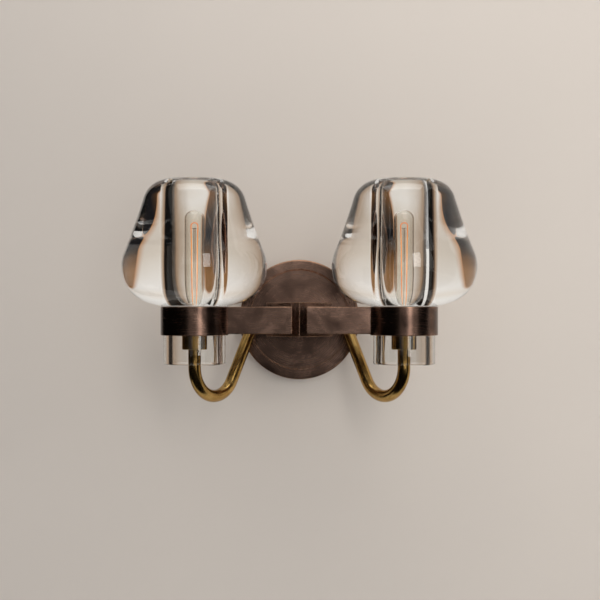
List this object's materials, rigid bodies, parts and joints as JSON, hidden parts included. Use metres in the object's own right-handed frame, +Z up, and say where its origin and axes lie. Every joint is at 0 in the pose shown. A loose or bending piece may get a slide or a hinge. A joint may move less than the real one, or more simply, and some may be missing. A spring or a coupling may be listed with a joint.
{
  "type": "double arm wall sconce",
  "caption": "Wall sconce with a round dished backplate, V-nosed block and flat arms to collars that hold open thick-glass bell shades over tubular lamps, fed by goosenecks.",
  "frame": {"origin": "centre of the wall bracket's back face, on the wall, level with the middle of the arms", "axes": "+X right along the arms, +Y into the wall, +Z up; the room lies towards -Y"},
  "size_m": [0.354, 0.1803, 0.2234],
  "materials": {
    "dark_bronze": "oil-rubbed bronze, satin lacquer over a dark patina",
    "antique_brass": "aged brass, drawn and lightly polished",
    "bright_brass": "bright stamped brass",
    "plated_steel": "zinc plated",
    "earth_green": "green passivated steel",
    "clear_glass": "thick clear hand-finished crystal",
    "lamp_glass": "thin clear lamp glass",
    "clear_silicone": "translucent silicone",
    "holder_phenolic": "moulded black phenolic",
    "connector_plastic": "moulded orange plastic",
    "lead_insulation": "extruded lead insulation",
    "black_vitrite": "black vitreous glass",
    "solder": "solder button",
    "glowing_filament": "glowing hairpin filament",
    "support_wire": "fine drawn wire"
  },
  "bodies": {
    "fixture": {"backplate": "dark_bronze", "backplate_set_screws": "dark_bronze", "block_screws": "plated_steel", "bracket_earth_screw": "earth_green", "centre_block": "dark_bronze", "cup_lock_nuts": "plated_steel", "gooseneck_lock_nuts": "plated_steel", "left_arm": "dark_bronze", "left_centre_contact": "bright_brass", "left_collar": "dark_bronze", "left_gooseneck": "antique_brass", "left_gooseneck_ferrule": "antique_brass", "left_lampholder": "holder_phenolic", "left_leads": "lead_insulation", "left_nipple": "plated_steel", "left_screw_shell": "bright_brass", "left_shade_gasket": "clear_silicone", "left_socket_cup": "antique_brass", "right_arm": "dark_bronze", "right_centre_contact": "bright_brass", "right_collar": "dark_bronze", "right_gooseneck": "antique_brass", "right_gooseneck_ferrule": "antique_brass", "right_lampholder": "holder_phenolic", "right_leads": "lead_insulation", "right_nipple": "plated_steel", "right_screw_shell": "bright_brass", "right_shade_gasket": "clear_silicone", "right_socket_cup": "antique_brass", "wall_bracket": "plated_steel", "wire_connectors": "connector_plastic"},
    "left_shade": {"left_glass_shade": "clear_glass"},
    "left_lamp": {"left_lamp_envelope": "lamp_glass", "left_lamp_cap": "bright_brass", "left_lamp_cap_insulator": "black_vitrite", "left_lamp_cap_button": "solder", "left_lamp_stem": "lamp_glass", "left_lamp_filament": "glowing_filament", "left_lamp_filament_anchor": "support_wire"},
    "right_shade": {"right_glass_shade": "clear_glass"},
    "right_lamp": {"right_lamp_envelope": "lamp_glass", "right_lamp_cap": "bright_brass", "right_lamp_cap_insulator": "black_vitrite", "right_lamp_cap_button": "solder", "right_lamp_stem": "lamp_glass", "right_lamp_filament": "glowing_filament", "right_lamp_filament_anchor": "support_wire"}
  },
  "joints": [
    {"name": "left_shade_lift", "type": "slide", "parent": "fixture", "child": "left_shade", "axis": [0, 0, 1], "range_m": [0, 0.15]},
    {"name": "left_lamp_draw", "type": "slide", "parent": "fixture", "child": "left_lamp", "axis": [0, 0, 1], "range_m": [0, 0.03]},
    {"name": "right_shade_lift", "type": "slide", "parent": "fixture", "child": "right_shade", "axis": [0, 0, 1], "range_m": [0, 0.15]},
    {"name": "right_lamp_draw", "type": "slide", "parent": "fixture", "child": "right_lamp", "axis": [0, 0, 1], "range_m": [0, 0.03]}
  ]
}
